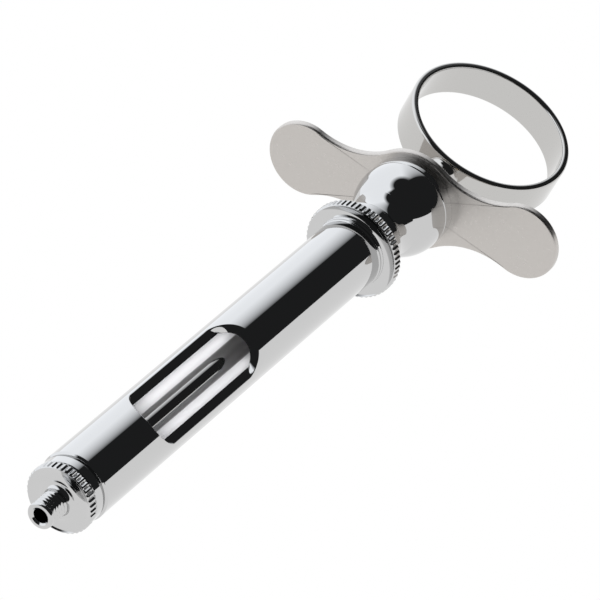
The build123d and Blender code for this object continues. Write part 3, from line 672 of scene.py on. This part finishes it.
def barrel_tube():
    """Round the window, the outer and inner surfaces are laid out as loops that open from its outline to
    the whole tube, and the wall joins them. The plain ends of the tube are turned."""
    angles = np.linspace(-math.pi, math.pi, END_COLUMNS + 1)
    limit = joined_loop(np.stack([angles, np.full_like(angles, SPREAD_FRONT)], 1),
                        np.stack([angles[::-1], np.full_like(angles, SPREAD_BACK)], 1))
    outer_loop, inner_loop = window_loop(BARREL_RADIUS), window_loop(BORE_RADIUS, WALL_LEAN)
    rows = spread_rows(BARREL_RADIUS, outer_loop, limit, OUTER_ROUND, 1)[::-1]
    rows += wall_rows(outer_loop, inner_loop)
    rows += spread_rows(BORE_RADIUS, inner_loop, limit, INNER_ROUND, -1)
    n = len(limit)
    numbers = [np.arange(n) + n * k for k in range(len(rows))]
    # The right and left seams of the widest loops are one line
    right = END_COLUMNS + np.arange(SIDE_ROWS + 1)
    left = (2 * END_COLUMNS + 2 * SIDE_ROWS - np.arange(SIDE_ROWS + 1)) % n
    for widest in (numbers[0], numbers[-1]):
        widest[left] = widest[right]
    faces, count = ring_of(numbers), n * len(rows)
    front_path, back_path = end_paths()
    back_start = END_COLUMNS + SIDE_ROWS
    for path, bearings, ends in (
            (front_path, angles[:-1], [loop[:END_COLUMNS] for loop in numbers]),
            (back_path, angles[1:], [loop[back_start:back_start + END_COLUMNS][::-1] for loop in numbers])):
        points, facing, more = plain_end(path, bearings, ends[0], ends[-1], count)
        rows.append((points, facing))
        faces += more
        count += len(points)
    points, facing = (np.concatenate(part) for part in zip(*rows))
    used, renumbered = np.unique(faces, return_inverse=True)
    return points[used], facing[used], renumbered.reshape(-1, 4).tolist()


def finish_bore(barrel):
    """Gives the faces of the bore their own finish. They are those whose middle lies no further from the
    axis than the bore's radius and a margin."""
    faces = barrel.data.polygons
    centres = np.empty(3 * len(faces))
    faces.foreach_get("center", centres)
    reach = np.hypot(centres[0::3], centres[2::3])
    barrel.data.materials.append(BORE)
    faces.foreach_set("material_index", (reach < (BORE_RADIUS + BORE_MARGIN) * MM).astype(np.int32))


barrel = piece("barrel_visual", barrel_tube(), "barrel", ["barrel"], CHROME)
finish_bore(barrel)

# Bearing spring, and the travel of the bearing in front of it
SPRING_RADIUS, SPRING_WIRE_RADIUS, SPRING_TURNS, BEARING_TRAVEL = 3.7, 0.35, 6, 3.5
SPRING_FRONT, SPRING_BACK = (corner[1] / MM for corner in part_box("bearing_spring"))


def coil_spring(columns=20, rows=432):
    """Round wire carried along a helix. At turn angle a the wire's centre is (R sin a, start + rise a,
    R cos a), and wire angle b goes round it from the way out to the way along the spring. Each end is
    closed by one point."""
    start, end = SPRING_FRONT + SPRING_WIRE_RADIUS, SPRING_BACK - SPRING_WIRE_RADIUS
    rise = (end - start) / (SPRING_TURNS * 2 * np.pi)
    turn = np.linspace(0, SPRING_TURNS * 2 * np.pi, rows)[:, None]
    a = turn + np.pi / 2
    out = np.concatenate([np.sin(a), 0 * a, np.cos(a)], 1)
    along = np.concatenate([SPRING_RADIUS * np.cos(a), rise + 0 * a, -SPRING_RADIUS * np.sin(a)], 1)
    along /= np.linalg.norm(along, axis=1, keepdims=True)
    side = np.cross(along, out)
    centre = SPRING_RADIUS * out + (start + turn * rise) * [0, 1, 0]
    b = (np.arange(columns) * 2 * np.pi / columns)[None, :, None]
    facing = np.cos(b) * out[:, None] + np.sin(b) * side[:, None]
    points = (centre[:, None] + SPRING_WIRE_RADIUS * facing).reshape(-1, 3)
    grid = np.arange(rows * columns).reshape(rows, columns)
    faces = ring_of(grid) + closed_by(len(points), grid[0]) + closed_by(len(points) + 1, grid[-1])
    points = np.concatenate([points, centre[[0, -1]]])
    facing = np.concatenate([facing.reshape(-1, 3), [-along[0], along[-1]]])
    return points, facing, faces


spring = piece("bearing_spring_visual", coil_spring(), "handle", ["bearing_spring"], SPRING)
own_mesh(spring)

# Finish of the nut, which is kept as it is
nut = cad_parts["grip_nut"]
nut.data.materials.clear()
nut.data.materials.append(STEEL)

# Floor: the plane on which the syringe lies. It rises to the right, up to the wing that touches it
FLOOR_TIP, FLOOR_FALL_BACK, FLOOR_HALF_SIDE_M = math.radians(6.7), 0.0315, 4
CONTACTS = ((HUB_RADIUS, 6.0), (RIM_RADIUS, 88.3), (GRIP_HUB_RADIUS, 106.7))


def lay_floor():
    """Square at the lowest of three round places: the adaptor's hub, the coupling's rim and the grip's hub.
    Along the floor's upward direction, a circle of radius r at station y reaches down to
    y up.y - r sqrt(up.x^2 + up.z^2)."""
    up = Vector((-math.tan(FLOOR_TIP), FLOOR_FALL_BACK, 1)).normalized()
    height = min(y * MM * up.y - r * MM * math.hypot(up.x, up.z) for r, y in CONTACTS)
    side = Vector((1, 0, 0)).cross(up).normalized()
    across = up.cross(side).normalized()
    corners = [up * height + (side * u + across * v) * FLOOR_HALF_SIDE_M
               for u, v in ((-1, -1), (1, -1), (1, 1), (-1, 1))]
    mesh = bpy.data.meshes.new("floor")
    mesh.from_pydata(corners, [], [(0, 1, 2, 3)])
    white = bpy.data.materials.new("white lit floor")
    tree = emptied(white)
    glow = node(tree, "ShaderNodeEmission", inputs={"Color": linear("#ffffff"), "Strength": 1.0})
    node(tree, "ShaderNodeOutputMaterial", [("Surface", glow.outputs["Emission"])])
    mesh.materials.append(white)
    return bpy.data.objects.new("floor", mesh)


floor = lay_floor()
bpy.context.scene.collection.objects.link(floor)

# Studio: one broad soft light on the left in a dark room, with its edges as angles in degrees
LIGHT_FRONT, LIGHT_BACK, LIGHT_TOP, LIGHT_FALL = (-150, -138), (-33, 6), (72, 62), 0.65
LIGHT_STRENGTH, ROOM_STRENGTH = 1.4, 0.02


def ramp(tree, source, start, end, low=0.0, high=1.0):
    """Value that goes from low to high as the source angle goes from start to end, in degrees."""
    return node(tree, "ShaderNodeMapRange", [("Value", source.outputs[0])], inputs={
        "From Min": math.radians(start), "From Max": math.radians(end), "To Min": low, "To Max": high})


def times(tree, a, b):
    """Product of two values."""
    return node(tree, "ShaderNodeMath", [(0, a.outputs[0]), (1, b.outputs[0])], operation="MULTIPLY")


def light_studio():
    """World whose brightness depends on the direction's bearing and height. The light starts sharply at
    its front edge, fades slowly towards the back, and stops short of straight overhead."""
    world = bpy.data.worlds.new("studio")
    tree = emptied(world)
    direction = node(tree, "ShaderNodeTexCoord")
    split = node(tree, "ShaderNodeSeparateXYZ", [("Vector", direction.outputs["Generated"])])
    bearing = node(tree, "ShaderNodeMath", [(0, split.outputs["X"]), (1, split.outputs["Y"])],
                   operation="ARCTAN2")
    height = node(tree, "ShaderNodeMath", [(0, split.outputs["Z"])], operation="ARCSINE")
    fall = node(tree, "ShaderNodeMath", [(0, ramp(tree, bearing, *LIGHT_BACK, 1, 0).outputs[0])],
                operation="POWER", inputs={1: LIGHT_FALL})
    box = times(tree, times(tree, ramp(tree, bearing, *LIGHT_FRONT), fall), ramp(tree, height, *LIGHT_TOP))
    level = node(tree, "ShaderNodeMath", [(0, box.outputs[0])], operation="MULTIPLY_ADD",
                 inputs={1: LIGHT_STRENGTH, 2: ROOM_STRENGTH})
    sky = node(tree, "ShaderNodeBackground", [("Strength", level.outputs[0])],
               inputs={"Color": linear("#f5f8fc")})
    node(tree, "ShaderNodeOutputWorld", [("Surface", sky.outputs["Background"])])
    bpy.context.scene.world = world


light_studio()

# Camera at the photo's angle. The focal length is in pixels of the photo
PHOTO_WIDTH, FOCAL_PIXELS, SENSOR_WIDTH = 600, 4809, 36
CAMERA_PLACE = Vector((295.96, -471.64, 408.93))
CAMERA_RIGHT, CAMERA_VIEW = Vector((0.8527, 0.5176, 0.0712)), Vector((-0.3985, 0.7324, -0.5521))
BORE_LIGHT_STRENGTH, BORE_LIGHT_SPREAD = 9.0, math.radians(20)


def set_camera():
    """Camera that looks along CAMERA_VIEW, with CAMERA_RIGHT squared to it."""
    view = CAMERA_VIEW.normalized()
    up = CAMERA_RIGHT.cross(view).normalized()
    data = bpy.data.cameras.new("camera")
    data.sensor_width = SENSOR_WIDTH
    data.lens = FOCAL_PIXELS / PHOTO_WIDTH * SENSOR_WIDTH
    data.clip_start, data.clip_end = 0.01, 20
    camera = bpy.data.objects.new("camera", data)
    turn = Matrix((view.cross(up), up, -view)).transposed().to_4x4()
    camera.matrix_world = Matrix.Translation(CAMERA_PLACE * MM) @ turn
    bpy.context.scene.collection.objects.link(camera)
    bpy.context.scene.camera = camera


def light_bore():
    """Soft light from the camera's side. Mirror finishes don't show it, so it lights only the bore."""
    data = bpy.data.lights.new("window light", "SUN")
    data.energy, data.angle = BORE_LIGHT_STRENGTH, BORE_LIGHT_SPREAD
    lamp = bpy.data.objects.new("window light", data)
    lamp.rotation_euler = (-CAMERA_VIEW.normalized()).to_track_quat("Z", "Y").to_euler()
    lamp.visible_glossy = False
    bpy.context.scene.collection.objects.link(lamp)


set_camera()
light_bore()
bpy.context.scene.view_settings.view_transform = "Standard"
